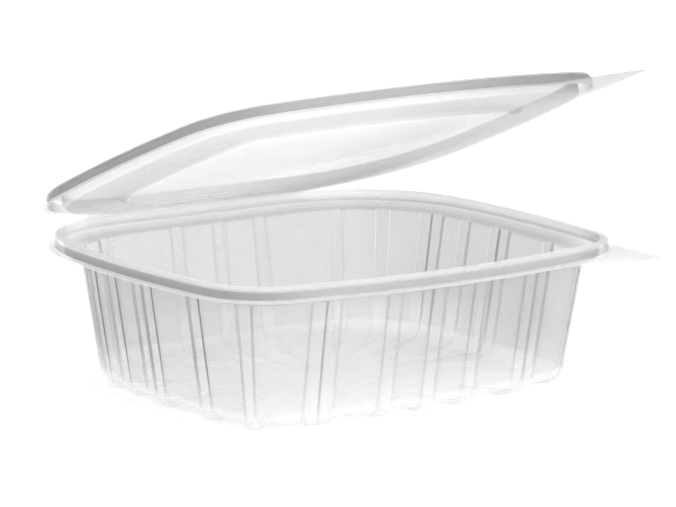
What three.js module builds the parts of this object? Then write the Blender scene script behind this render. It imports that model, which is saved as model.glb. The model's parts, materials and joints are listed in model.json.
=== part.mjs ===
import * as THREE from 'three';

// A hinged takeaway meal container in thin clear plastic, standing empty with its lid part open.
// Millimetres, +Z up, +X along the long side, -Y to the front, the hinge along the back.

// Outline of the rim, at the outer edge of its flat land
const rimHalfLength = 90;
const rimHalfDepth = 78;
const frontBow = 12.6;
const backBow = 0.3;
const sideBow = 9;
const frontCornerRadius = 26;
const backCornerRadius = 50;

// Sheet and clearance
const sheet = 0.55;
const fitGap = 0.35;

// Rim of the tray
const trayHeight = 54;
const skirtHeight = 4.6;
const flangeWidth = 2.4;
const landWidth = 3.3;
const ledgeDepth = 6.35;

// Walls: tall ribs stand out from wide panels and run down into feet
const wallInset = 9.15;
const wallDraft = 0.162;
const ribDepth = 1.3;
const ribWidth = 5.2;
const ribFlank = 0.6;
const footHeight = 8;
const footRun = 6.2;
const footLift = 1.2;
const footEnd = 36;
const floorLift = 1.05;

// Lid: a plug steps down inside the tray's rim, and a shallow panel lies in its middle
const plugInset = 4.8;
const plugDrop = 6.0;
const panelInset = 23.5;
const panelDrop = 2.1;
const lidAngle = 22.4;

// Hinge strip along the back and lifting tab at the front right corner
const hingeOffset = 9.6;
const hingeHalfLength = 48;
const hingeGap = 0.25;
const tabTip = new THREE.Vector2(89.6, -84.6);
const tabFrontStart = 50;
const tabSideStart = -42;
const tabTipSoftness = 1.0;

// Fineness of the facets
const cornerStep = THREE.MathUtils.degToRad(6);
const sideStep = 15;
const parallelInset = 17;

const flangeTop = trayHeight - skirtHeight;
const hingeY = rimHalfDepth + hingeOffset;
const hingeZ = flangeTop + fitGap / 2;

// Arc of one bowed side: its radius and how far its centre lies from the side
function bowRadius(halfLength, bow) {
  return (halfLength * halfLength + bow * bow) / (2 * bow);
}

// Centre of a corner circle of radius r that runs smoothly into two side arcs
function cornerCentre(centreA, radiusA, centreB, radiusB, signY) {
  const between = new THREE.Vector2().subVectors(centreB, centreA);
  const distance = between.length();
  const along = (distance * distance + radiusA * radiusA - radiusB * radiusB) / (2 * distance);
  const across = Math.sqrt(radiusA * radiusA - along * along);
  between.normalize();
  const first = new THREE.Vector2(
    centreA.x + between.x * along - between.y * across,
    centreA.y + between.y * along + between.x * across,
  );
  const second = new THREE.Vector2(
    centreA.x + between.x * along + between.y * across,
    centreA.y + between.y * along - between.x * across,
  );
  return first.x > 0 && first.y * signY > 0 ? first : second;
}

function directionAngle(from, to) {
  return Math.atan2(to.y - from.y, to.x - from.x);
}

// The eight arcs of the rim, counter-clockwise from the front side
function rimArcs() {
  const frontRadius = bowRadius(rimHalfLength, frontBow);
  const backRadius = bowRadius(rimHalfLength, backBow);
  const sideRadius = bowRadius(rimHalfDepth, sideBow);
  const front = new THREE.Vector2(0, -rimHalfDepth + frontRadius);
  const back = new THREE.Vector2(0, rimHalfDepth - backRadius);
  const right = new THREE.Vector2(rimHalfLength - sideRadius, 0);
  const nearCorner = cornerCentre(
    front, frontRadius - frontCornerRadius, right, sideRadius - frontCornerRadius, -1);
  const farCorner = cornerCentre(
    back, backRadius - backCornerRadius, right, sideRadius - backCornerRadius, 1);
  const frontEnd = directionAngle(front, nearCorner);
  const sideStart = directionAngle(right, nearCorner);
  const sideEnd = directionAngle(right, farCorner);
  const backStart = directionAngle(back, farCorner);
  const mirrored = (point) => new THREE.Vector2(-point.x, point.y);
  return [
    { kind: 'front', centre: front, radius: frontRadius, start: -Math.PI - frontEnd, end: frontEnd },
    { kind: 'frontCorner', centre: nearCorner, radius: frontCornerRadius,
      start: frontEnd, end: sideStart },
    { kind: 'side', centre: right, radius: sideRadius, start: sideStart, end: sideEnd },
    { kind: 'backCorner', centre: farCorner, radius: backCornerRadius,
      start: sideEnd, end: backStart },
    { kind: 'back', centre: back, radius: backRadius, start: backStart, end: Math.PI - backStart },
    { kind: 'backCorner', centre: mirrored(farCorner), radius: backCornerRadius,
      start: Math.PI - backStart, end: Math.PI - sideEnd, left: true },
    { kind: 'side', centre: mirrored(right), radius: sideRadius,
      start: Math.PI - sideEnd, end: Math.PI - sideStart, left: true },
    { kind: 'frontCorner', centre: mirrored(nearCorner), radius: frontCornerRadius,
      start: Math.PI - sideStart, end: Math.PI - frontEnd, left: true },
  ];
}

// Where ribs stand, measured along the wall from the middle of each arc of the right half,
// with the distance running towards the back. Two ribs may stand side by side.
const pairPitch = ribWidth + ribFlank;
const ribPlaces = {
  front: [-49.2, -49.2 + pairPitch, -18.8, 0, 18.8, 49.2 - pairPitch, 49.2],
  side: [-22.2, 4.9, 4.9 + pairPitch, 28.2],
  back: [-18.8, 0, 18.8],
  frontCorner: [2.9],
  backCorner: [-27, -27 + pairPitch, -2.9, 15.5],
};

// Stations round the outline: angle on the arc and whether the point lies on a rib
function arcStations(arc) {
  const wallRadius = arc.radius - wallInset;
  const middle = (arc.start + arc.end) / 2;
  const half = (arc.end - arc.start) / 2;
  const crown = (ribWidth - ribFlank) / 2;
  const foot = (ribWidth + ribFlank) / 2;
  const marks = [];
  for (const place of ribPlaces[arc.kind]) {
    const centre = arc.left ? -place : place;
    marks.push({ at: centre - foot, rib: false });
    marks.push({ at: centre - crown, rib: true });
    marks.push({ at: centre + crown, rib: true });
    marks.push({ at: centre + foot, rib: false });
  }
  marks.sort((a, b) => a.at - b.at);
  const stations = [{ angle: arc.start, rib: false }];
  const limit = arc.kind.endsWith('Corner') ? cornerStep : sideStep / wallRadius;
  const ends = { angle: arc.end, rib: false };
  const inside = marks
    .map((mark) => ({ angle: middle + mark.at / wallRadius, rib: mark.rib }))
    .filter((mark) => Math.abs(mark.angle - middle) < half);
  for (const mark of [...inside, ends]) {
    const last = stations[stations.length - 1];
    const gap = mark.angle - last.angle;
    if (gap < 0.3 / wallRadius && !mark.rib && !last.rib) {
      continue;
    }
    const steps = mark.rib && last.rib ? 1 : Math.ceil(gap / limit);
    for (let i = 1; i < steps; i += 1) {
      stations.push({ angle: last.angle + (gap * i) / steps, rib: false });
    }
    stations.push(mark);
  }
  stations.pop();
  return stations.map((station) => {
    const normal = new THREE.Vector2(Math.cos(station.angle), Math.sin(station.angle));
    const point = normal.clone().multiplyScalar(arc.radius).add(arc.centre);
    return { point, normal, rib: station.rib };
  });
}

// Plan position of a station moved inwards. Far in, the outline shrinks towards the middle.
function placeInset(station, inset) {
  const parallel = Math.min(inset, parallelInset);
  const place = station.point.clone().addScaledVector(station.normal, -parallel);
  const meanHalf = (rimHalfLength + rimHalfDepth) / 2;
  return place.multiplyScalar(1 - (inset - parallel) / (meanHalf - parallelInset));
}

// Distance from a station along its normal to a straight edge through two points
function reachToEdge(station, from, to) {
  const edge = new THREE.Vector2().subVectors(to, from);
  const offset = new THREE.Vector2().subVectors(from, station.point);
  const facing = station.normal.cross(edge);
  return facing > 0.05 * edge.length() ? offset.cross(edge) / facing : Infinity;
}

// How far the flange reaches out at a station: plain, hinge strip or lifting tab
function flangeReach(station) {
  let reach = flangeWidth;
  if (station.normal.y > 0.1) {
    const toHinge = (hingeY - hingeGap - station.point.y) / station.normal.y;
    const edgeX = Math.abs(station.point.x + station.normal.x * toHinge);
    const beyond = Math.max(0, edgeX - hingeHalfLength);
    reach = Math.max(reach, toHinge - beyond * 2.2);
  }
  if (station.point.x > tabFrontStart - 1 && station.point.y < tabSideStart + 1) {
    const frontBase = new THREE.Vector2(tabFrontStart, outlineY(tabFrontStart) - flangeWidth);
    const sideBase = new THREE.Vector2(outlineX(tabSideStart) + flangeWidth, tabSideStart);
    const toFront = reachToEdge(station, frontBase, tabTip);
    const toSide = reachToEdge(station, tabTip, sideBase);
    const softened = -tabTipSoftness
      * Math.log(Math.exp(-toFront / tabTipSoftness) + Math.exp(-toSide / tabTipSoftness));
    reach = Math.max(reach, softened);
  }
  return reach;
}

// The front edge's Y at a given X, and the right edge's X at a given Y
function outlineY(x) {
  const radius = bowRadius(rimHalfLength, frontBow);
  return -rimHalfDepth + radius - Math.sqrt(radius * radius - x * x);
}

function outlineX(y) {
  const radius = bowRadius(rimHalfDepth, sideBow);
  return rimHalfLength - radius + Math.sqrt(radius * radius - y * y);
}

// Offset a section line by the sheet thickness, with mitred corners, to its underside
function underside(section) {
  return section.map((node, i) => {
    const before = section[Math.max(i - 1, 0)];
    const after = section[Math.min(i + 1, section.length - 1)];
    const normals = [];
    if (i > 0) {
      normals.push(sectionNormal(before, node));
    }
    if (i < section.length - 1) {
      normals.push(sectionNormal(node, after));
    }
    const mean = new THREE.Vector2();
    normals.forEach((normal) => mean.add(normal));
    mean.normalize();
    const stretch = sheet / Math.max(mean.dot(normals[0]), 0.6);
    return [node[0] + mean.x * stretch, node[1] + mean.y * stretch];
  });
}

// Normal of one stretch of a section, pointing below the sheet
function sectionNormal(from, to) {
  const run = new THREE.Vector2(to[0] - from[0], to[1] - from[1]).normalize();
  return new THREE.Vector2(run.y, -run.x);
}

// Sections run from the flange's outer edge to the middle, as [inset, height] of the upper face
function rimSection() {
  return [
    [0, flangeTop],
    [0, trayHeight - 1.1],
    [0.35, trayHeight - 0.35],
    [1.1, trayHeight],
    [landWidth, trayHeight],
    [landWidth + 0.4, trayHeight - 0.45],
    [landWidth + 0.65, trayHeight - ledgeDepth],
  ];
}

// The bend from wall to floor, as shares of its run inwards and of its height
const footBend = [[0, 1], [0.15, 0.5], [0.45, 0.16], [1, 0]];

function wallSection(onRib) {
  const out = onRib ? 0 : ribDepth;
  const lift = onRib ? 0 : footLift;
  const top = trayHeight - ledgeDepth - 0.2;
  const foot = wallInset + wallDraft * (top - footHeight) + out;
  const bend = footBend.map(([run, rise]) => [
    foot + run * footRun,
    sheet + lift + rise * (footHeight - sheet),
  ]);
  return [[wallInset + out, top], ...bend, [footEnd, sheet + lift]];
}

function lidSection() {
  const land = trayHeight + fitGap + sheet;
  return [
    [-fitGap - sheet, flangeTop + fitGap + sheet],
    [-fitGap - sheet, land - 1.1],
    [-0.3, land - 0.35],
    [0.7, land],
    [plugInset - 0.3, land],
    [plugInset, land - 0.4],
    [plugInset + 0.5, land - plugDrop],
    [panelInset, land - plugDrop],
    [panelInset + 2, land - plugDrop - panelDrop],
  ];
}

// A closed sheet is built from rings of points, joined one to the next
class SheetBuilder {
  constructor() {
    this.positions = [];
    this.triangles = [];
  }

  addRing(stations, insetOf, heightOf) {
    return stations.map((station) => {
      const place = placeInset(station, insetOf(station));
      return { key: station.key, index: this.addPoint(place.x, place.y, heightOf(station)) };
    });
  }

  addPoint(x, y, z) {
    this.positions.push(x, y, z);
    return this.positions.length / 3 - 1;
  }

  join(ringA, ringB, stationCount) {
    let i = 0;
    let j = 0;
    const keyOf = (ring, k) => (k < ring.length ? ring[k].key : stationCount);
    while (i < ringA.length || j < ringB.length) {
      const a = ringA[i % ringA.length].index;
      const b = ringB[j % ringB.length].index;
      if (keyOf(ringA, i + 1) <= keyOf(ringB, j + 1) && i < ringA.length) {
        this.triangles.push(a, ringA[(i + 1) % ringA.length].index, b);
        i += 1;
      } else {
        this.triangles.push(a, ringB[(j + 1) % ringB.length].index, b);
        j += 1;
      }
    }
  }

  capUp(ring, z) {
    const centre = this.addPoint(0, 0, z);
    ring.forEach((corner, i) => {
      this.triangles.push(corner.index, ring[(i + 1) % ring.length].index, centre);
    });
  }

  capDown(ring, z) {
    const centre = this.addPoint(0, 0, z);
    ring.forEach((corner, i) => {
      this.triangles.push(ring[(i + 1) % ring.length].index, corner.index, centre);
    });
  }

  geometry() {
    const result = new THREE.BufferGeometry();
    result.setAttribute('position', new THREE.Float32BufferAttribute(this.positions, 3));
    result.setIndex(this.triangles);
    result.computeVertexNormals();
    return result;
  }
}

// All stations, and the fewer ones that the smooth rim needs
const allStations = rimArcs().flatMap(arcStations);
allStations.forEach((station, key) => {
  station.key = key;
  station.reach = flangeReach(station);
});

function smoothStations() {
  const kept = [];
  let turned = 0;
  let travelled = 0;
  allStations.forEach((station, i) => {
    const last = allStations[(i + allStations.length - 1) % allStations.length];
    turned += station.normal.angleTo(last.normal);
    travelled += station.point.distanceTo(last.point);
    const special = station.reach > flangeWidth && travelled > 2.2;
    if (kept.length === 0 || turned > cornerStep * 1.3 || travelled > sideStep || special) {
      kept.push(station);
      turned = 0;
      travelled = 0;
    }
  });
  return kept;
}

// Lay the rings of one face: each level holds its stations, insets and heights
function layFace(builder, levels) {
  return levels.map((level) => builder.addRing(level.stations, level.inset, level.height));
}

function flangeLevel(stations, height) {
  return { stations, inset: (station) => -station.reach, height: () => height };
}

function plainLevels(stations, section) {
  return section.map(([inset, height]) => ({ stations, inset: () => inset, height: () => height }));
}

function ribbedLevels(stations, panel, rib) {
  return panel.map((node, i) => ({
    stations,
    inset: (station) => (station.rib ? rib[i][0] : node[0]),
    height: (station) => (station.rib ? rib[i][1] : node[1]),
  }));
}

// Close the sheet: upper face inwards, lower face outwards, and the edge between them
function closedSheet(upperLevels, lowerLevels, upperMiddle, lowerMiddle) {
  const builder = new SheetBuilder();
  const upper = layFace(builder, upperLevels);
  const lower = layFace(builder, lowerLevels).reverse();
  const count = allStations.length;
  for (let i = 1; i < upper.length; i += 1) {
    builder.join(upper[i - 1], upper[i], count);
  }
  builder.capUp(upper[upper.length - 1], upperMiddle);
  builder.capDown(lower[0], lowerMiddle);
  for (let i = 1; i < lower.length; i += 1) {
    builder.join(lower[i - 1], lower[i], count);
  }
  builder.join(lower[lower.length - 1], upper[0], count);
  return builder.geometry();
}

function buildTray(material) {
  const rimStations = smoothStations();
  const floorTop = floorLift + sheet;
  const panel = [...rimSection(), ...wallSection(false), [footEnd + 3, floorTop]];
  const rib = [...rimSection(), ...wallSection(true), [footEnd + 3, floorTop]];
  const panelBelow = underside([[-1, flangeTop], ...panel]).slice(1);
  const ribBelow = underside([[-1, flangeTop], ...rib]).slice(1);
  const rimCount = rimSection().length;
  const wallCount = wallSection(false).length;
  const levelsOf = (panelLine, ribLine, tipHeight) => [
    flangeLevel(rimStations, tipHeight),
    ...plainLevels(rimStations, panelLine.slice(0, rimCount)),
    ...ribbedLevels(
      allStations,
      panelLine.slice(rimCount, rimCount + wallCount),
      ribLine.slice(rimCount, rimCount + wallCount)),
    ...plainLevels(rimStations, panelLine.slice(rimCount + wallCount)),
  ];
  const geometry = closedSheet(
    levelsOf(panel, rib, flangeTop),
    levelsOf(panelBelow, ribBelow, flangeTop - sheet),
    floorTop, floorLift);
  const tray = new THREE.Mesh(geometry, material);
  tray.name = 'tray';
  return tray;
}

function buildLid(material) {
  const stations = smoothStations();
  const flangeHeight = flangeTop + fitGap;
  const section = lidSection();
  const below = underside([[-4, flangeHeight + sheet], ...section]).slice(1);
  const levelsOf = (line, tipHeight) => [
    flangeLevel(stations, tipHeight),
    ...plainLevels(stations, line),
  ];
  const middle = section[section.length - 1][1];
  const geometry = closedSheet(
    levelsOf(section, flangeHeight + sheet),
    levelsOf(below, flangeHeight),
    middle, middle - sheet);
  geometry.translate(0, -hingeY, -hingeZ);
  const lid = new THREE.Mesh(geometry, material);
  lid.name = 'lid';
  return lid;
}

function clearPlastic() {
  return new THREE.MeshStandardMaterial({
    color: 0xeef1f2, roughness: 0.08, metalness: 0, transparent: true, opacity: 0.35, side: THREE.DoubleSide,
  });
}

// The lid turns about the hinge line, which lies along the back edge
const hinge = new THREE.Group();
hinge.position.set(0, hingeY, hingeZ);
hinge.rotation.x = -THREE.MathUtils.degToRad(lidAngle);
hinge.add(buildLid(clearPlastic()));

// The origin is under the middle of the whole container
const container = new THREE.Group();
container.add(buildTray(clearPlastic()), hinge);
container.updateMatrixWorld(true);
const bounds = new THREE.Box3().setFromObject(container, true);
const middle = bounds.getCenter(new THREE.Vector3());
container.position.set(-middle.x, -middle.y, -bounds.min.z);

export default container;
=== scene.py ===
import json
import math

import bmesh
import bpy
from mathutils import Matrix, Vector
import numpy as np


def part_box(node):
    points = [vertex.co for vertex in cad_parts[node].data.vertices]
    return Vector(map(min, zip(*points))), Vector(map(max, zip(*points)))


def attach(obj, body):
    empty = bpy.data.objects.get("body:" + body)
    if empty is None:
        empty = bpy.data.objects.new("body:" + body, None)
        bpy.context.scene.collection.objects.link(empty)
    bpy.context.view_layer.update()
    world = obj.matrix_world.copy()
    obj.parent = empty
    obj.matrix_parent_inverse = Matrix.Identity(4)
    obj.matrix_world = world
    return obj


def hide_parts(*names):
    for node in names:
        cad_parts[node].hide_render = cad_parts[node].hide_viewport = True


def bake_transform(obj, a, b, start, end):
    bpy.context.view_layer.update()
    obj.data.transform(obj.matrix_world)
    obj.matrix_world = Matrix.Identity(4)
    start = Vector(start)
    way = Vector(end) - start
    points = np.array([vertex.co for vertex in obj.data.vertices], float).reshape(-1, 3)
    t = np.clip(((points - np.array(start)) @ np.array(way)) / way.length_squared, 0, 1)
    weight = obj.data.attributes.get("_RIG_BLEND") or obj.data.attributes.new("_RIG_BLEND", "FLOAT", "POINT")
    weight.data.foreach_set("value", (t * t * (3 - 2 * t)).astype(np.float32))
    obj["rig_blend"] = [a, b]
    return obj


# A hinged clear plastic meal container, empty, with its lid part open
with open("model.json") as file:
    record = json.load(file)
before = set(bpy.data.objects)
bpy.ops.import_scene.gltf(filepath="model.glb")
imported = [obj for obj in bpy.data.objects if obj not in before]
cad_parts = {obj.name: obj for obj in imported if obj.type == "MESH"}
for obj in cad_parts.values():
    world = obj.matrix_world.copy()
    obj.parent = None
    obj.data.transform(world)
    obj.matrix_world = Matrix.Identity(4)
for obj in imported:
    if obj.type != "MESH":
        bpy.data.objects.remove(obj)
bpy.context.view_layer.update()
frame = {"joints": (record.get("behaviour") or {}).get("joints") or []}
scene = bpy.context.scene
mm = 0.001

lidHinge = frame["joints"][0]
hingePlace = Vector(lidHinge["pos_m"])
openAngle = -math.radians(lidHinge["range_deg"][0])
trayLow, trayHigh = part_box("tray")


# Shape of the rim seen from above, shared by tray and lid, in millimetres
plan = {
    "halfLength": 90.0,
    "halfDepth": 78.0,
    "frontBow": 12.6,
    "backBow": 0.3,
    "sideBow": 9.0,
    "frontCornerRadius": 26.0,
    "backCornerRadius": 50.0,
    "flangeWidth": 2.3,
    "solidFlange": 2.4,  # the solids' own flange, from which the middle is found
    "hingeOffset": 9.6,  # from the middle of the back edge to the fold
    "hingeHalfLength": 48.0,
    "hingeGap": 0.25,
    "hingeFade": 2.2,  # how fast the hinge strip narrows at its ends
    "backFacing": 0.1,  # normals that turn back more than this reach the fold
    "tabTip": (89.4, -84.4),
    "tabFrontStart": 50.0,
    "tabSideStart": -42.0,
    "tabSoftness": 1.0,
    "tabMargin": 1.0,
    "edgeFacing": 0.05,
    "noReach": 1000.0,
    "parallelInset": 17.0,
    "height": 54.0,
    "skirt": 4.6,
    "sheet": 0.55,
    "fitGap": 0.35,
    "flangeRadius": 0.5,
    "weld": 0.002,
    "smoothDegrees": 50,
}
flangeTop = plan["height"] - plan["skirt"]
planCentre = Vector((
    trayLow.x + (plan["halfLength"] + plan["solidFlange"]) * mm,
    hingePlace.y - (plan["halfDepth"] + plan["hingeOffset"]) * mm,
    trayLow.z,
))


def bowRadius(half, bow):
    return (half * half + bow * bow) / (2 * bow)


def cornerCentre(centreA, radiusA, centreB, radiusB, signY):
    # centre of a corner circle that runs smoothly into two side arcs
    between = centreB - centreA
    distance = between.length
    along = (distance ** 2 + radiusA ** 2 - radiusB ** 2) / (2 * distance)
    across = math.sqrt(radiusA ** 2 - along ** 2)
    between.normalize()
    side = Vector((-between.y, between.x))
    first = centreA + between * along + side * across
    second = centreA + between * along - side * across
    return first if first.x > 0 and first.y * signY > 0 else second


def rimArcs():
    # eight arcs, counter-clockwise from the front: kind, centre, radius, start and end angle
    p = plan
    frontRadius = bowRadius(p["halfLength"], p["frontBow"])
    backRadius = bowRadius(p["halfLength"], p["backBow"])
    sideRadius = bowRadius(p["halfDepth"], p["sideBow"])
    front = Vector((0, frontRadius - p["halfDepth"]))
    back = Vector((0, p["halfDepth"] - backRadius))
    right = Vector((p["halfLength"] - sideRadius, 0))
    near, far = p["frontCornerRadius"], p["backCornerRadius"]
    nearCorner = cornerCentre(front, frontRadius - near, right, sideRadius - near, -1)
    farCorner = cornerCentre(back, backRadius - far, right, sideRadius - far, 1)
    angle = lambda a, b: math.atan2(b.y - a.y, b.x - a.x)
    flip = lambda v: Vector((-v.x, v.y))
    frontEnd, sideStart = angle(front, nearCorner), angle(right, nearCorner)
    sideEnd, backStart = angle(right, farCorner), angle(back, farCorner)
    pi = math.pi
    return [
        ("front", front, frontRadius, -pi - frontEnd, frontEnd),
        ("frontCorner", nearCorner, near, frontEnd, sideStart),
        ("side", right, sideRadius, sideStart, sideEnd),
        ("backCorner", farCorner, far, sideEnd, backStart),
        ("back", back, backRadius, backStart, pi - backStart),
        ("backCorner", flip(farCorner), far, pi - backStart, pi - sideEnd),
        ("side", flip(right), sideRadius, pi - sideEnd, pi - sideStart),
        ("frontCorner", flip(nearCorner), near, pi - sideStart, pi - frontEnd),
    ]


def frontEdgeY(x):
    radius = bowRadius(plan["halfLength"], plan["frontBow"])
    return radius - plan["halfDepth"] - math.sqrt(radius ** 2 - x ** 2)


def sideEdgeX(y):
    radius = bowRadius(plan["halfDepth"], plan["sideBow"])
    return plan["halfLength"] - radius + math.sqrt(radius ** 2 - y ** 2)


def cross(a, b):
    return a.x * b.y - a.y * b.x


def reachToEdge(point, normal, start, end):
    edge = end - start
    facing = cross(normal, edge)
    if facing > plan["edgeFacing"] * edge.length:
        return cross(start - point, edge) / facing
    return plan["noReach"]


def flangeReach(point, normal):
    # plain flange, hinge strip along the back, or lifting tab at the front right
    p = plan
    reach = p["flangeWidth"]
    if normal.y > p["backFacing"]:
        toFold = (p["halfDepth"] + p["hingeOffset"] - p["hingeGap"] - point.y) / normal.y
        beyond = max(0, abs(point.x + normal.x * toFold) - p["hingeHalfLength"])
        reach = max(reach, toFold - beyond * p["hingeFade"])
    margin = p["tabMargin"]
    if point.x > p["tabFrontStart"] - margin and point.y < p["tabSideStart"] + margin:
        tip = Vector(p["tabTip"])
        frontX, sideY, soft = p["tabFrontStart"], p["tabSideStart"], p["tabSoftness"]
        frontBase = Vector((frontX, frontEdgeY(frontX) - p["flangeWidth"]))
        sideBase = Vector((sideEdgeX(sideY) + p["flangeWidth"], sideY))
        toFront = reachToEdge(point, normal, frontBase, tip)
        toSide = reachToEdge(point, normal, tip, sideBase)
        softened = -soft * math.log(math.exp(-toFront / soft) + math.exp(-toSide / soft))
        reach = max(reach, softened)
    return reach


def smoothStep(t):
    t = min(max(t, 0.0), 1.0)
    return t * t * (3 - 2 * t)


def easeBetween(value, low, high):
    return smoothStep((value - low) / (high - low))


def outlineStations(step, cornerDegrees, ribs=None):
    # points round the rim, closer on the flanks of the ribs
    stations = []
    for number, (kind, centre, radius, start, end) in enumerate(rimArcs()):
        middle, half = (start + end) / 2, (end - start) / 2
        wallRadius = radius - (tray["wallInset"] if ribs else 0)
        marks = []
        if ribs:
            crown = (ribs["width"] - ribs["flank"]) / 2
            for place in ribs["places"][kind]:
                at = -place if number > 4 else place  # the last three arcs mirror the right half
                for share in ribs["flankShares"]:
                    out = crown + ribs["flank"] * (1 - share)
                    marks += [(at - out, smoothStep(share), -1), (at + out, smoothStep(share), 1)]
        marks = [(middle + at / wallRadius, share, flank) for at, share, flank in marks]
        marks = sorted(m for m in marks if abs(m[0] - middle) < half)
        line = [(start, 0.0, 0)]
        stride = min(step / wallRadius, math.radians(cornerDegrees))
        for mark in marks + [(end, 0.0, 0)]:
            lastAngle, lastShare = line[-1][:2]
            gap = mark[0] - lastAngle
            steps = max(1, math.ceil(gap / stride - 0.01))
            for i in range(1, steps):
                part = lastShare + (mark[1] - lastShare) * i / steps
                line.append((lastAngle + gap * i / steps, part, mark[2]))
            line.append(mark)
        for angle, share, flank in line[:-1]:
            normal = Vector((math.cos(angle), math.sin(angle)))
            point = centre + normal * radius
            bend = bendAlong(share, normal, flank) if ribs else 0
            stations.append((point, normal, share, flangeReach(point, normal), bend))
    return stations


def bendAlong(share, normal, flank):
    # the ribs' edges are painted darker, a painted shade strongest on the left side, and are clearer than
    # the sheet on the far walls
    t = tray["bends"]
    onFlank = 4 * share * (1 - share)
    peak = onFlank ** t["peakPower"]
    left = easeBetween(-normal.x, *t["leftTurn"])
    near = (t["front"] + (t["left"] - t["front"]) * left) * peak + t["around"] * (onFlank - peak)
    # where a far flank turns away, three layers of sheet lie in line, so it is clearer
    sight = Vector(t["sight"])
    away = smoothStep(0.5 - t["awayTurn"] * flank * cross(normal, sight))
    far = (t["farFlank"] + (t["farAway"] - t["farFlank"]) * away) * onFlank
    back = easeBetween(normal.dot(sight), *t["backTurn"])
    return near * (1 - back) + far * back


def placeInset(station, inset):
    # moved inwards; far in, the outline shrinks towards the middle
    point, normal = station[0], station[1]
    parallel = min(inset, plan["parallelInset"])
    place = point - normal * parallel
    meanHalf = (plan["halfLength"] + plan["halfDepth"]) / 2
    return place * (1 - (inset - parallel) / (meanHalf - plan["parallelInset"]))


def rounded(keys):
    # a section through (inset, height) corners, each with its own radius and step count
    line = []
    for i, (x, z, radius, steps) in enumerate(keys):
        here = Vector((x, z))
        if radius == 0 or i in (0, len(keys) - 1):
            line.append(here)
            continue
        before = Vector(keys[i - 1][:2]) - here
        after = Vector(keys[i + 1][:2]) - here
        turn = before.angle(after)
        cut = radius / math.tan(turn / 2)
        cut = min(cut, 0.49 * before.length, 0.49 * after.length)
        a, b = here + before.normalized() * cut, here + after.normalized() * cut
        for k in range(steps + 1):
            t = k / steps
            line.append(a * (1 - t) ** 2 + here * 2 * t * (1 - t) + b * t ** 2)
    return line


def selectNothing():
    if bpy.context.object and bpy.context.object.mode != "OBJECT":
        bpy.ops.object.mode_set(mode="OBJECT")
    bpy.ops.object.select_all(action="DESELECT")


def drawSheet(name, stations, levels, middleHeight, zoneAt, bendAt=lambda inset: 0):
    # a ring of points is pulled level by level from the flange's edge to the middle
    selectNothing()
    bpy.ops.mesh.primitive_circle_add(vertices=len(stations), radius=plan["halfLength"] * mm)
    sheet = bpy.context.object
    sheet.name = name
    numbers = sheet.data.attributes.new("station", "INT", "POINT")
    numbers.data.foreach_set("value", range(len(stations)))
    sheet.data.attributes.new("zone", "FLOAT", "POINT")
    sheet.data.attributes.new("bend", "FLOAT", "POINT")
    sheet.data.attributes.new("outward", "FLOAT_VECTOR", "POINT")
    bpy.ops.object.mode_set(mode="EDIT")
    bpy.ops.mesh.select_mode(type="EDGE")
    bpy.ops.mesh.select_all(action="SELECT")
    for count, level in enumerate(levels):
        if count:
            bpy.ops.mesh.extrude_edges_move()
        grid = bmesh.from_edit_mesh(sheet.data)
        number = grid.verts.layers.int["station"]
        zone, bend = grid.verts.layers.float["zone"], grid.verts.layers.float["bend"]
        outward = grid.verts.layers.float_vector["outward"]
        for corner in grid.verts:
            if corner.select:
                station = stations[corner[number]]
                inset, height = level(station)
                place = placeInset(station, inset)
                corner.co = (place.x * mm, place.y * mm, height * mm)
                corner[zone] = zoneAt(inset, height)
                onWall = min(1, corner[zone]) * (height < tray["ribTop"])
                corner[bend] = station[4] * onWall + bendAt(inset)
                corner[outward] = (station[1].x, station[1].y, 0)
        bmesh.update_edit_mesh(sheet.data)
    bpy.ops.mesh.extrude_edges_move()
    grid = bmesh.from_edit_mesh(sheet.data)
    for corner in grid.verts:
        if corner.select:
            corner.co = (0, 0, middleHeight * mm)
            corner[grid.verts.layers.float["zone"]] = 0
    bmesh.update_edit_mesh(sheet.data)
    bpy.ops.mesh.select_all(action="SELECT")
    bpy.ops.mesh.remove_doubles(threshold=plan["weld"] * mm)
    bpy.ops.mesh.normals_make_consistent(inside=False)
    grid = bmesh.from_edit_mesh(sheet.data)
    if sum(face.normal.z * face.calc_area() for face in grid.faces) < 0:
        bpy.ops.mesh.flip_normals()
    bpy.ops.object.mode_set(mode="OBJECT")
    return sheet


def finishSheet(sheet, matrix):
    sheet.data.transform(matrix)
    solidify = sheet.modifiers.new("thickness", "SOLIDIFY")
    solidify.thickness = plan["sheet"] * mm
    solidify.offset = -1
    bpy.ops.object.modifier_apply(modifier=solidify.name)
    sheet.data.attributes.remove(sheet.data.attributes["station"])
    bpy.ops.object.shade_smooth_by_angle(angle=math.radians(plan["smoothDegrees"]))
    sheet.data.update()


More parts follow.
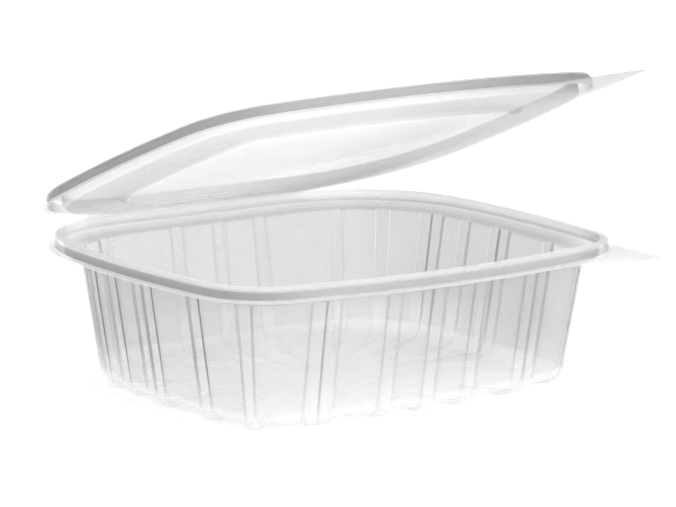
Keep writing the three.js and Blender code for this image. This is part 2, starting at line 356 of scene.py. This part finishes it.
# Tray: skirted rim, ledge, ribbed walls on feet and a slightly raised floor
tray = {
    "flangeStart": 1.0,
    "land": 3.3,
    "rimBend": 2.0,  # below the top, where the skirt starts to bend into the land
    "rimRadius": 1.6,
    "landRadius": 0.5,
    "ledgeDepth": 6.35,
    "ledgeSlope": 0.65,
    "ledgeFall": 0.2,
    "ledgeRadius": 0.6,
    "wallInset": 9.15,
    "wallDraft": 0.162,
    "wallRadius": 0.9,
    "wallMiddle": 24.0,
    "ribDepth": 1.3,
    "ribTop": 47.2,
    "footLift": 1.2,
    "footRadius": 8.0,
    "footEnd": 36.0,  # the ribs run on as shallow channels in the floor up to here
    "footFlat": 8.0,
    "floorSlope": 3.0,
    "floorLift": 1.05,
    "pitch": 1.7,
    "cornerDegrees": 3.5,
    "floorZone": (3.0, 10.0),  # heights between which the floor's veil and painted light and shade turn into the wall's
    "rimZone": (1.8, 0.6),  # the same for wall and rim, as depths below the top
    "rimInset": 1.5,
    "skirtZone": (0.3, 1.1),  # clearances above the flange and below the top
    "skirtInset": 1.0,
    # how much darker the ribs' edges are painted, as painted shade and a thicker veil; below zero they are
    # clearer
    "bends": {
        "front": 0.5,
        "left": 1.3,
        "around": -0.3,
        "farFlank": -0.16,
        "farAway": -0.95,
        "peakPower": 5,
        "sight": (0.59, 0.81),  # the photograph's view, from the near left to the far right
        "awayTurn": 1.5,
        "leftTurn": (0.2, 0.9),
        "backTurn": (0.1, 0.4),
    },
    "ribs": {
        "width": 5.2,
        "flank": 0.6,
        "flankShares": (0.0, 0.3, 0.5, 0.7, 1.0),
        # along the wall from the middle of each arc of the right half, towards the back
        "places": {
            "front": (-49.2, -43.4, -18.8, 0, 18.8, 43.4, 49.2),
            "side": (-22.2, 4.9, 10.7, 28.2),
            "back": (-18.8, 0, 18.8),
            "frontCorner": (2.9,),
            "backCorner": (-27, -21.2, -2.9, 15.5),
        },
    },
}


def traySection(onRib):
    t, top = tray, plan["height"]
    thick = plan["sheet"]
    out = 0.0 if onRib else t["ribDepth"]
    lift = 0.0 if onRib else t["footLift"]
    ledge = top - t["ledgeDepth"]
    wall = lambda z: t["wallInset"] + t["wallDraft"] * (ledge - z) + out
    keys = [
        (-t["flangeStart"], flangeTop, 0, 0),
        (0.0, flangeTop, plan["flangeRadius"], 3),
        (0.0, top - t["rimBend"], 0, 0),
        (0.0, top, t["rimRadius"], 6),
        (t["land"], top, t["landRadius"], 3),
        (t["land"] + t["ledgeSlope"], ledge, t["ledgeRadius"], 3),
        (wall(ledge), ledge - t["ledgeFall"], t["wallRadius"], 3),
        (wall(t["wallMiddle"]), t["wallMiddle"], 0, 0),
        (wall(thick + lift), thick + lift, t["footRadius"], 10),
        (t["footEnd"] - t["footFlat"], thick + lift, 0, 0),
        (t["footEnd"], thick + lift, 0, 0),
        (t["footEnd"] + t["floorSlope"], thick + t["floorLift"], 0, 0),
    ]
    return rounded(keys)


def buildTray():
    t, top = tray, plan["height"]
    panel, rib = traySection(False), traySection(True)
    start = -t["flangeStart"]
    edge = [lambda s: (-s[3], flangeTop), lambda s: ((start - s[3]) / 2, flangeTop)]

    def level(i):
        return lambda s: (
            panel[i].x + (rib[i].x - panel[i].x) * s[2],
            panel[i].y + (rib[i].y - panel[i].y) * s[2],
        )

    stations = outlineStations(t["pitch"], t["cornerDegrees"], t["ribs"])
    levels = edge + [level(i) for i in range(len(panel))]
    floorTop = plan["sheet"] + t["floorLift"]

    def zoneAt(inset, height):
        # 0 on the floor, 1 on the walls and the ledge, 2 on the rim, 3 on the skirt
        above, below = t["skirtZone"]
        onSkirt = flangeTop + above < height < top - below and inset < t["skirtInset"]
        onRim = max(easeBetween(top - height, *t["rimZone"]), inset < t["rimInset"])
        return easeBetween(height, *t["floorZone"]) + onRim + onSkirt

    sheet = drawSheet("tray_sheet", stations, levels, floorTop, zoneAt)
    finishSheet(sheet, Matrix.Translation(planCentre))
    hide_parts("tray")
    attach(sheet, "tray")
    print("tray:", len(stations), "stations,", len(sheet.data.polygons), "faces")
    return sheet


# Lid: the same rim, a plug that steps down inside the tray and a shallow panel
lid = {
    "plugInset": 4.8,
    "plugSlope": 0.5,
    "plugDrop": 6.0,
    "panelInset": 23.5,
    "panelSlope": 2.0,
    "panelFlat": 12.0,
    "panelDrop": 2.1,
    "flangeStart": 0.7,
    "rimRadius": 2.1,
    "landRadius": 0.6,
    "plugRadius": 0.8,
    "panelRadius": 1.2,
    "slopeBend": 1.0,
    "panelZone": (24.5, 26.5),  # insets between which the plug's veil and painted light and shade turn into the panel's
    "plugZone": (5.4, 6.4),
    "skirtZone": (0.3, 1.0),
    "skirtInset": 0.6,
    "pitch": 2.2,
    "cornerDegrees": 3.0,
}


def buildLid():
    t = lid
    over = -plan["fitGap"] - plan["sheet"]
    top, flange = plan["height"] - over, flangeTop - over
    plug, panel = top - t["plugDrop"], top - t["plugDrop"] - t["panelDrop"]
    start = over - t["flangeStart"]
    section = rounded([
        (start, flange, 0, 0),
        (over, flange, plan["flangeRadius"], 3),
        (over, top, t["rimRadius"], 7),
        (t["plugInset"], top, t["landRadius"], 3),
        (t["plugInset"] + t["plugSlope"], plug, t["plugRadius"], 4),
        (t["panelInset"], plug, t["panelRadius"], 3),
        (t["panelInset"] + t["panelSlope"], panel, t["panelRadius"], 3),
        (t["panelInset"] + t["panelFlat"], panel, 0, 0),
    ])
    edge = [lambda s: (-s[3], flange), lambda s: ((start - s[3]) / 2, flange)]
    stations = outlineStations(t["pitch"], t["cornerDegrees"])
    levels = edge + [lambda s, p=p: (p.x, p.y) for p in section]

    def zoneAt(inset, height):
        # 0 on the panel, 1 on the plug's flat, 2 on the rim and the plug's side, 3 on the skirt
        above, below = t["skirtZone"]
        onSkirt = flange + above < height < top - below and inset < t["skirtInset"]
        offPlug, offRim = easeBetween(inset, *t["panelZone"]), easeBetween(inset, *t["plugZone"])
        return 2 - offPlug - offRim + onSkirt

    def bendAt(inset):
        across = (inset - t["panelInset"]) / t["panelSlope"]
        return t["slopeBend"] * max(0, 1 - (2 * across - 1) ** 2)

    sheet = drawSheet("lid_sheet", stations, levels, panel, zoneAt, bendAt)
    toHinge = Matrix.Translation(hingePlace)
    turn = toHinge @ Matrix.Rotation(-openAngle, 4, "X") @ toHinge.inverted()
    finishSheet(sheet, turn @ Matrix.Translation(planCentre))
    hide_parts("lid")
    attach(sheet, "lid")
    print("lid:", len(stations), "stations,", len(sheet.data.polygons), "faces")
    return sheet


# Fold: a thin web closes the gap along the back edge and bends with the lid
fold = {
    "halfLength": 47.5,
    "trayEdge": (-0.24, -0.45),  # across and above the hinge line, with the lid part open
    "lidEdge": (-0.06, 0.50),
    "sag": 0.06,
    "thickness": 0.18,
    "columns": 24,
    "rows": 7,
    "smoothDegrees": 40,
}


def buildHingeWeb():
    f = fold
    selectNothing()
    bpy.ops.mesh.primitive_grid_add(x_subdivisions=f["columns"], y_subdivisions=f["rows"], size=2)
    web = bpy.context.object
    web.name = "hinge_web"
    start = hingePlace + Vector((0, *f["trayEdge"])) * mm
    end = hingePlace + Vector((0, *f["lidEdge"])) * mm
    bpy.ops.object.mode_set(mode="EDIT")
    grid = bmesh.from_edit_mesh(web.data)
    for corner in grid.verts:
        share = (corner.co.y + 1) / 2
        place = start.lerp(end, share)
        place.x += corner.co.x * f["halfLength"] * mm
        place.y -= 4 * share * (1 - share) * f["sag"] * mm
        corner.co = place
    bmesh.update_edit_mesh(web.data)
    bpy.ops.mesh.select_all(action="SELECT")
    bpy.ops.mesh.normals_make_consistent(inside=False)
    bpy.ops.object.mode_set(mode="OBJECT")
    solidify = web.modifiers.new("thickness", "SOLIDIFY")
    solidify.thickness = f["thickness"] * mm
    solidify.offset = 0
    bpy.ops.object.modifier_apply(modifier=solidify.name)
    bpy.ops.object.shade_smooth_by_angle(angle=math.radians(f["smoothDegrees"]))
    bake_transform(web, "tray", "lid", start=start, end=end)
    print("hinge web:", len(web.data.polygons), "faces")
    return web


class Socket:
    # a node's output, so that shader maths reads as an expression
    def __init__(self, tree, output):
        self.tree = tree
        self.output = output

    def maths(self, operation, first, second):
        return self.node("ShaderNodeMath", {"operation": operation}, {0: first, 1: second})

    def __add__(self, other):
        return self.maths("ADD", self, other)

    def __sub__(self, other):
        return self.maths("SUBTRACT", self, other)

    def __mul__(self, other):
        return self.maths("MULTIPLY", self, other)

    __radd__, __rmul__ = __add__, __mul__

    def __rsub__(self, other):
        return self.maths("SUBTRACT", other, self)

    def node(self, kind, settings=None, inputs=None, output=0):
        made = self.tree.nodes.new(kind)
        for key, value in (settings or {}).items():
            setattr(made, key, value)
        for key, value in (inputs or {}).items():
            if isinstance(value, Socket):
                self.tree.links.new(value.output, made.inputs[key])
            else:
                made.inputs[key].default_value = value
        return Socket(self.tree, made.outputs[output] if len(made.outputs) else None)


def newMaterial(name):
    material = bpy.data.materials.new(name)
    material.use_nodes = True
    tree = material.node_tree
    tree.nodes.clear()
    start = Socket(tree, None)
    place = start.node("ShaderNodeTexCoord", output="Object")
    return material, place


# Clear sheet: a film veils what shows through it, more where it is seen edge-on.
# Bodies and veils are given for floor, wall, rim and skirt, or for panel, plug, rim and skirt; the bodies
# are painted light and shade, one plastic made lighter or darker zone by zone.
plastic = {
    "clear": (0.99, 0.99, 0.99, 1.0),
    "ior": 1.5,
    "roughness": 0.2,
    "roughnessSpread": 0.12,
    "edgePower": 3.0,
    "veilSpread": 0.08,
    "rippleScale": 55.0,
    "rippleHeight": 0.00004,
    "hazeScale": 14.0,
    # painted shade: the dark colour given to the ribs' edges
    "paintedEdgeShade": (0.2, 0.202, 0.205, 1.0),
    "shade": (0.1, 0.1, 0.1, 1.0),
    # painted light: the pale colour the far rim and far walls are lightened towards
    "paintedLight": (0.85, 0.85, 0.85, 1.0),
    "leftRange": (-0.05, -0.085),  # metres across, between which the left skirt darkens
    "leftShade": 0.55,
    # front values turn into back ones over this range of y plus a share of x, in metres
    "turnAcross": 0.7,
    "turnRange": (-0.005, 0.028),
}
trayFilm = {
    # painted light and shade: lighter and darker body colours of one plastic, zone by zone
    "bodies": (
        (0.90, 0.905, 0.91, 1.0), (0.40, 0.405, 0.41, 1.0),
        (0.66, 0.665, 0.67, 1.0), (0.42, 0.424, 0.43, 1.0)),
    "frontVeils": (0.13, 0.24, 0.32, 0.45),
    "backVeils": (0.13, 0.45, 0.30, 0.22),
    "frontEdge": 0.85,
    "backEdge": 0.47,
    "bendVeil": 0.55,
    "bendShade": 1.0,
    # painted light on the far rim and the far walls
    "backRim": 0.7,
    "backWall": 0.06,
    "smoothLight": 0.85,
    "rightRange": (0.055, 0.085),
    "rightShade": 0.26,
    "specular": 0.25,
}
lidFilm = {
    # painted light and shade: lighter and darker body colours of one plastic, zone by zone
    "bodies": (
        (0.70, 0.705, 0.71, 1.0), (0.50, 0.505, 0.51, 1.0),
        (0.58, 0.584, 0.59, 1.0), (0.30, 0.304, 0.31, 1.0)),
    "frontVeils": (0.18, 0.32, 0.38, 0.50),
    "backVeils": (0.18, 0.18, 0.18, 0.26),
    "frontEdge": 0.75,
    "backEdge": 0.55,
    "bendVeil": 0.3,
    "bendShade": 0.0,
    # painted light on the far rim and the far walls
    "backRim": 0.0,
    "backWall": 0.55,
    "smoothLight": 0.0,
    "rightRange": (-0.02, 0.06),
    "rightShade": 0.45,
    "specular": 0.08,
}


def clearPlastic(name, film):
    material, place = newMaterial(name)
    p = plastic

    def ease(value, low, high):
        return place.node("ShaderNodeMapRange", {"interpolation_type": "SMOOTHSTEP"}, {
            "Value": value, "From Min": low, "From Max": high})

    def blendColour(share, first, second):
        return place.node("ShaderNodeMix", {"data_type": "RGBA"}, {
            0: share, 6: first, 7: second}, 2)

    def vectorMath(operation, inputs, output=0):
        return place.node("ShaderNodeVectorMath", {"operation": operation}, inputs, output)

    ripple = place.node("ShaderNodeTexNoise", None, {
        "Vector": place, "Scale": p["rippleScale"], "Detail": 2.0})
    haze = place.node("ShaderNodeTexNoise", None, {
        "Vector": place, "Scale": p["hazeScale"], "Detail": 4.0})
    bump = place.node("ShaderNodeBump", None, {
        "Strength": 1.0, "Distance": p["rippleHeight"], "Height": ripple})
    facing = place.node("ShaderNodeLayerWeight", None, {"Blend": 0.5, "Normal": bump}, "Facing")
    zone = place.node("ShaderNodeAttribute", {"attribute_name": "zone"}, None, "Fac")
    bend = place.node("ShaderNodeAttribute", {"attribute_name": "bend"}, None, "Fac")
    onWall, onRim, onSkirt = [ease(zone, low, low + 1.0) for low in (0.0, 1.0, 2.0)]
    across = place.node("ShaderNodeSeparateXYZ", None, {"Vector": place}, "X")
    along = place.node("ShaderNodeSeparateXYZ", None, {"Vector": place}, "Y")
    toBack = ease(across * p["turnAcross"] + along, *p["turnRange"])
    veils = [
        front + toBack * (back - front)
        for front, back in zip(film["frontVeils"], film["backVeils"])]
    sheetVeil = veils[0]
    for share, veil in zip((onWall, onRim, onSkirt), veils[1:]):
        sheetVeil = sheetVeil + share * (veil - sheetVeil)
    bent = bend * (1 - onRim)
    sheetVeil = sheetVeil + (haze - 0.5) * p["veilSpread"] + bent * film["bendVeil"]
    backWall = toBack * onWall * (1 - onRim)
    edgeVeil = film["frontEdge"] + toBack * (film["backEdge"] - film["frontEdge"])
    edge = facing.maths("POWER", facing, p["edgePower"]) * (1 + bent.maths("MINIMUM", bent, 0.0))
    solid = sheetVeil + (edgeVeil - sheetVeil) * edge
    # painted light and shade: each zone gets its own body colour, lighter or darker for how light reaches
    # it, the tray's floor lightest
    tone = film["bodies"][0]
    for share, colour in zip((onWall, onRim, onSkirt), film["bodies"][1:]):
        tone = blendColour(share, tone, colour)
    # painted shade: the ribs' edges are darkened towards a dark colour
    tone = blendColour(bent * film["bendShade"], tone, p["paintedEdgeShade"])
    # painted light: the far rim and the far walls are lightened towards a pale colour
    paintedBackLight = toBack * onRim * film["backRim"] + backWall * film["backWall"]
    tone = blendColour(paintedBackLight, tone, p["paintedLight"])
    toRight, toLeft = ease(across, *film["rightRange"]), ease(across, *p["leftRange"])
    tone = blendColour(toRight * film["rightShade"], tone, p["shade"])
    tone = blendColour(toLeft * onSkirt * p["leftShade"], tone, p["shade"])
    # the far ribs are lit almost like a smooth wall, because light comes through them
    outward = place.node("ShaderNodeAttribute", {"attribute_name": "outward"}, None, "Vector")
    side = vectorMath("DOT_PRODUCT", {0: bump, 1: outward}, "Value")
    sign = place.node("ShaderNodeMath", {"operation": "SIGN"}, {0: side})
    smoothWall = vectorMath("SCALE", {0: outward, "Scale": sign})
    mixedNormal = place.node("ShaderNodeMix", {"data_type": "VECTOR"}, {
        0: backWall * film["smoothLight"], 4: bump, 5: smoothWall}, 1)
    litNormal = vectorMath("NORMALIZE", {0: mixedNormal})
    body = place.node("ShaderNodeBsdfPrincipled", None, {
        "Base Color": tone,
        "Roughness": haze * p["roughnessSpread"] + p["roughness"],
        "IOR": p["ior"],
        "Specular IOR Level": film["specular"],
        "Normal": litNormal,
    })
    clear = place.node("ShaderNodeBsdfTransparent", None, {"Color": p["clear"]})
    sheet = place.node("ShaderNodeMixShader", None, {0: solid, 1: clear, 2: body})
    place.node("ShaderNodeOutputMaterial", None, {"Surface": sheet})
    return material


# Camera: the viewing angle, framing and lens of the photograph, on a 676 by 507 frame
photoCamera = {
    "width": 676.0,
    "height": 507.0,
    "focal": 3800.5,  # in pixels of that frame
    "distance": 1.37617,
    "azimuth": -36.097,
    "elevation": 11.837,
    "roll": 0.479,
    "centreX": 325.04,
    "centreY": 298.66,
    "targetHeight": 0.030,
    "sensorWidth": 36.0,
    "viewEnd": 20.0,
}


def placeCamera():
    c = photoCamera
    data = bpy.data.cameras.new("photo_camera")
    camera = bpy.data.objects.new("photo_camera", data)
    scene.collection.objects.link(camera)
    a, e = math.radians(c["azimuth"]), math.radians(c["elevation"])
    back = Vector((math.sin(a) * math.cos(e), -math.cos(a) * math.cos(e), math.sin(e)))
    target = planCentre + Vector((0, 0, c["targetHeight"]))
    right = (-back).cross(Vector((0, 0, 1))).normalized()
    up = right.cross(-back)
    r = math.radians(c["roll"])
    tiltedRight = right * math.cos(r) + up * math.sin(r)
    tiltedUp = up * math.cos(r) - right * math.sin(r)
    turn = Matrix((tiltedRight, tiltedUp, back)).transposed().to_4x4()
    camera.matrix_world = Matrix.Translation(target + back * c["distance"]) @ turn
    data.sensor_width = c["sensorWidth"]
    data.lens = c["focal"] * data.sensor_width / c["width"]
    data.shift_x = (c["width"] / 2 - c["centreX"]) / c["width"]
    data.shift_y = (c["centreY"] - c["height"] / 2) / c["width"]
    data.clip_end = c["viewEnd"]
    scene.camera = camera


# Studio: pale floor, a pale surround and large soft boxes
studio = {
    "floorSize": 8.0,
    "floorColour": (0.9, 0.9, 0.9, 1.0),
    "floorRoughness": 0.9,
    "aim": (0, 0, 0.05),
    "bounces": 32,
    "surround": 0.833,
    "boxes": (
        # name, place, size, watts
        ("top_box", (0.0, 0.1, 2.4), (2.6, 2.6), 59.7),
        ("left_box", (-2.2, -0.6, 0.9), (1.4, 1.6), 10.2),
        ("front_box", (0.9, -2.4, 0.9), (2.0, 1.4), 32.0),
    ),
}


def aimedAt(place, target):
    return (Vector(target) - Vector(place)).to_track_quat("-Z", "Y").to_euler()


def lightStudio():
    selectNothing()
    bpy.ops.mesh.primitive_plane_add(size=studio["floorSize"], location=(0, 0, 0))
    floor = bpy.context.object
    floor.name = "floor"
    material = bpy.data.materials.new("pale_floor")
    material.use_nodes = True
    shader = material.node_tree.nodes["Principled BSDF"]
    shader.inputs["Base Color"].default_value = studio["floorColour"]
    shader.inputs["Roughness"].default_value = studio["floorRoughness"]
    shader.inputs["Specular IOR Level"].default_value = 0.0
    floor.data.materials.append(material)
    world = bpy.data.worlds.new("surround")
    world.use_nodes = True
    world.node_tree.nodes["Background"].inputs["Color"].default_value = (1, 1, 1, 1)
    world.node_tree.nodes["Background"].inputs["Strength"].default_value = studio["surround"]
    scene.world = world
    for name, place, size, watts in studio["boxes"]:
        data = bpy.data.lights.new(name, "AREA")
        data.shape = "RECTANGLE"
        data.size, data.size_y = size
        data.energy = watts
        light = bpy.data.objects.new(name, data)
        scene.collection.objects.link(light)
        light.location = place
        light.rotation_euler = aimedAt(place, studio["aim"])
    scene.view_settings.view_transform = "Standard"
    scene.cycles.max_bounces = studio["bounces"]
    scene.cycles.transmission_bounces = studio["bounces"]
    scene.cycles.transparent_max_bounces = studio["bounces"]


placeCamera()
print("camera placed")
traySheet = buildTray()
lidSheet = buildLid()
hingeWeb = buildHingeWeb()
traySheet.data.materials.append(clearPlastic("clear_tray_plastic", trayFilm))
lidSheet.data.materials.append(clearPlastic("clear_lid_plastic", lidFilm))
hingeWeb.data.materials.append(clearPlastic("clear_fold_plastic", trayFilm))
print("plastic made")
lightStudio()
print("studio lit")
